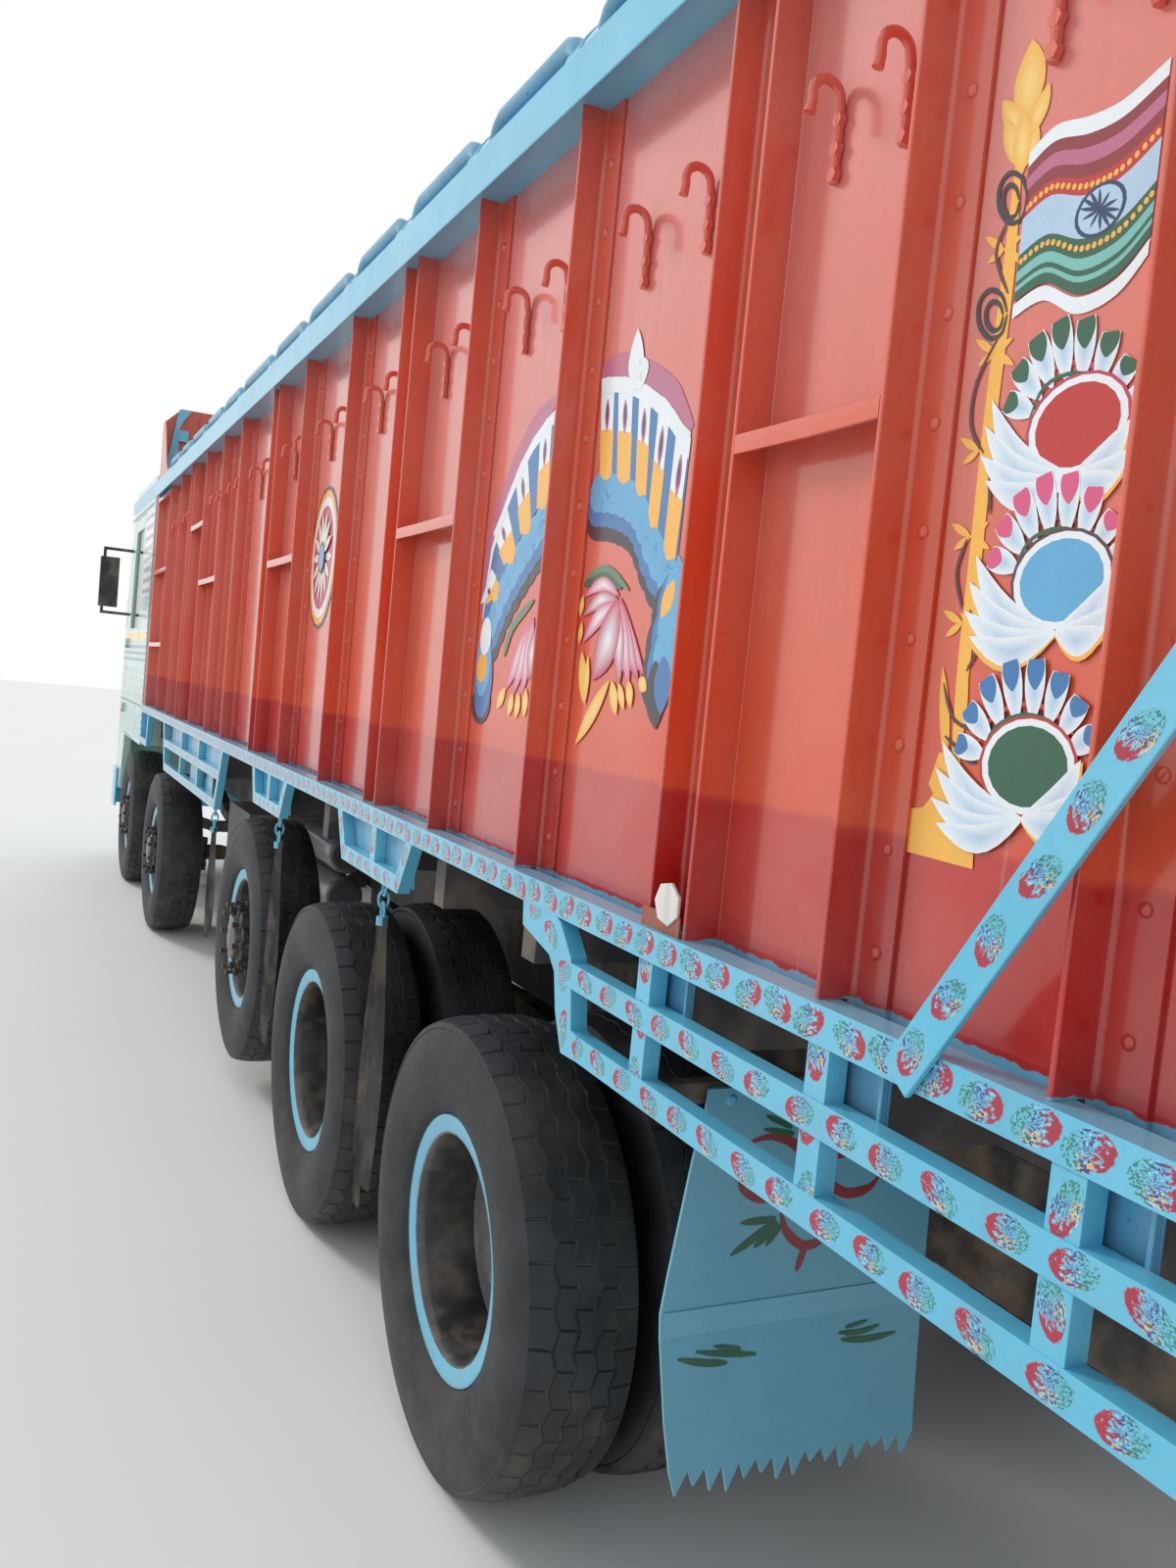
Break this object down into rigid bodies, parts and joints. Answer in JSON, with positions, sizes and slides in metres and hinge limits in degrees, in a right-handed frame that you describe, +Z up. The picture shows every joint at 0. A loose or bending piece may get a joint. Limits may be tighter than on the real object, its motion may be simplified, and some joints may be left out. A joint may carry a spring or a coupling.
{
  "type": "decorated truck",
  "caption": "Rigid multi-axle goods truck with a tall open-top steel load body, painted panels, rope hooks, printed side guards and twin rear tyres.",
  "frame": {"origin": "on the ground, midway along and across the vehicle", "axes": "+X forward along the truck, +Y to its left, +Z up"},
  "size_m": [11.9, 2.92, 3.62],
  "materials": {
    "orange_steel": "gloss orange-red enamel, deep red band along the foot",
    "blue_steel": "sky-blue enamel with hand-blocked flower prints",
    "chassis_steel": "black chassis paint, dusty",
    "cast_axle": "greasy cast and forged steel",
    "cast_engine": "oily casting",
    "tank_steel": "dark painted sheet",
    "rim_steel": "sky-blue ring, dark dusty dish",
    "tyre": "worn dusty rubber with mud",
    "cab_paint": "white and pale blue cab paint with painted lattice",
    "glass": "tinted glass",
    "seat_cloth": "woven seat covers",
    "dash_plastic": "dark moulded dashboard",
    "lamp_plastic": "clear and red lamp lenses",
    "dark_plastic": "grey mirror housings",
    "floor_steel": "worn steel floor and bearers",
    "flap_sheet": "light teal painted sheet",
    "strip_cloth": "black cloth strips"
  },
  "bodies": {
    "root": {"chassis_frame": "chassis_steel", "engine_block": "cast_engine", "propeller_shaft": "chassis_steel", "chassis_tanks": "tank_steel", "leaf_springs": "chassis_steel", "axles": "cast_axle", "cab_shell": "cab_paint", "cab_glass": "glass", "cab_seats": "seat_cloth", "dashboard": "dash_plastic", "front_bumper": "blue_steel", "grille": "blue_steel", "lamps": "lamp_plastic", "mirrors": "dark_plastic", "load_floor": "floor_steel", "front_bulkhead": "orange_steel", "side_wall_left": "orange_steel", "side_wall_right": "orange_steel", "top_rails": "blue_steel", "rope_hooks": "orange_steel", "side_guard_left": "blue_steel", "side_guard_right": "blue_steel", "rear_frame": "blue_steel", "diagonal_braces": "blue_steel", "mud_flaps": "flap_sheet", "hanging_strips": "strip_cloth"},
    "knuckle_1_left": {"knuckle_1_left": "cast_axle"},
    "knuckle_2_left": {"knuckle_2_left": "cast_axle"},
    "knuckle_1_right": {"knuckle_1_right": "cast_axle"},
    "knuckle_2_right": {"knuckle_2_right": "cast_axle"},
    "wheel_1_left": {"wheel_1_left": "rim_steel", "tyre_1_left": "tyre"},
    "wheel_1_right": {"wheel_1_right": "rim_steel", "tyre_1_right": "tyre"},
    "wheel_2_left": {"wheel_2_left": "rim_steel", "tyre_2_left": "tyre"},
    "wheel_2_right": {"wheel_2_right": "rim_steel", "tyre_2_right": "tyre"},
    "wheel_3_left": {"wheel_3_left": "rim_steel", "tyre_3_left": "tyre"},
    "wheel_3_right": {"wheel_3_right": "rim_steel", "tyre_3_right": "tyre"},
    "wheel_4_left": {"wheel_4_left": "rim_steel", "tyre_4_left": "tyre"},
    "wheel_4_right": {"wheel_4_right": "rim_steel", "tyre_4_right": "tyre"},
    "wheel_5_left": {"wheel_5_left": "rim_steel", "tyre_5_left": "tyre"},
    "wheel_5_right": {"wheel_5_right": "rim_steel", "tyre_5_right": "tyre"},
    "cab_door_left": {"cab_door_left": "cab_paint", "door_glass_left": "glass"},
    "cab_door_right": {"cab_door_right": "cab_paint", "door_glass_right": "glass"},
    "tail_door_left": {"tail_door_left": "orange_steel"},
    "tail_door_right": {"tail_door_right": "orange_steel"}
  },
  "joints": [
    {"name": "steer_1_left", "type": "hinge", "parent": "root", "child": "knuckle_1_left", "pos_m": [4.55, 0.9, 0.52], "axis": [0, 0, 1], "range_deg": [-35, 35]},
    {"name": "steer_2_left", "type": "hinge", "parent": "root", "child": "knuckle_2_left", "pos_m": [2.68, 0.9, 0.52], "axis": [0, 0, 1], "range_deg": [-24.5, 24.5]},
    {"name": "steer_1_right", "type": "hinge", "parent": "root", "child": "knuckle_1_right", "pos_m": [4.55, -0.9, 0.52], "axis": [0, 0, 1], "range_deg": [-35, 35]},
    {"name": "steer_2_right", "type": "hinge", "parent": "root", "child": "knuckle_2_right", "pos_m": [2.68, -0.9, 0.52], "axis": [0, 0, 1], "range_deg": [-24.5, 24.5]},
    {"name": "spin_1_left", "type": "hinge", "parent": "knuckle_1_left", "child": "wheel_1_left", "pos_m": [4.55, 1.087, 0.52], "axis": [0, 1, 0], "continuous": true},
    {"name": "spin_1_right", "type": "hinge", "parent": "knuckle_1_right", "child": "wheel_1_right", "pos_m": [4.55, -1.087, 0.52], "axis": [0, 1, 0], "continuous": true},
    {"name": "spin_2_left", "type": "hinge", "parent": "knuckle_2_left", "child": "wheel_2_left", "pos_m": [2.68, 1.087, 0.52], "axis": [0, 1, 0], "continuous": true},
    {"name": "spin_2_right", "type": "hinge", "parent": "knuckle_2_right", "child": "wheel_2_right", "pos_m": [2.68, -1.087, 0.52], "axis": [0, 1, 0], "continuous": true},
    {"name": "spin_3_left", "type": "hinge", "parent": "root", "child": "wheel_3_left", "pos_m": [-0.54, 1.087, 0.63], "axis": [0, 1, 0], "continuous": true},
    {"name": "spin_3_right", "type": "hinge", "parent": "root", "child": "wheel_3_right", "pos_m": [-0.54, -1.087, 0.63], "axis": [0, 1, 0], "continuous": true},
    {"name": "spin_4_left", "type": "hinge", "parent": "root", "child": "wheel_4_left", "pos_m": [-1.9, 1.087, 0.52], "axis": [0, 1, 0], "continuous": true},
    {"name": "spin_4_right", "type": "hinge", "parent": "root", "child": "wheel_4_right", "pos_m": [-1.9, -1.087, 0.52], "axis": [0, 1, 0], "continuous": true},
    {"name": "spin_5_left", "type": "hinge", "parent": "root", "child": "wheel_5_left", "pos_m": [-3.32, 1.087, 0.52], "axis": [0, 1, 0], "continuous": true},
    {"name": "spin_5_right", "type": "hinge", "parent": "root", "child": "wheel_5_right", "pos_m": [-3.32, -1.087, 0.52], "axis": [0, 1, 0], "continuous": true},
    {"name": "open_cab_door_left", "type": "hinge", "parent": "root", "child": "cab_door_left", "pos_m": [5.512, 1.215, 1.6], "axis": [0, 0, -1], "range_deg": [0, 70]},
    {"name": "open_cab_door_right", "type": "hinge", "parent": "root", "child": "cab_door_right", "pos_m": [5.512, -1.215, 1.6], "axis": [0, 0, 1], "range_deg": [0, 70]},
    {"name": "open_tail_door_left", "type": "hinge", "parent": "root", "child": "tail_door_left", "pos_m": [-5.929, 1.214, 2.2], "axis": [0, 0, -1], "range_deg": [0, 180]},
    {"name": "open_tail_door_right", "type": "hinge", "parent": "root", "child": "tail_door_right", "pos_m": [-5.929, -1.214, 2.2], "axis": [0, 0, 1], "range_deg": [0, 180]}
  ],
  "couplings": [
    {"joint": "steer_1_right", "follows": "steer_1_left", "ratio": 1},
    {"joint": "steer_2_left", "follows": "steer_1_left", "ratio": 0.7},
    {"joint": "steer_2_right", "follows": "steer_1_left", "ratio": 0.7}
  ]
}
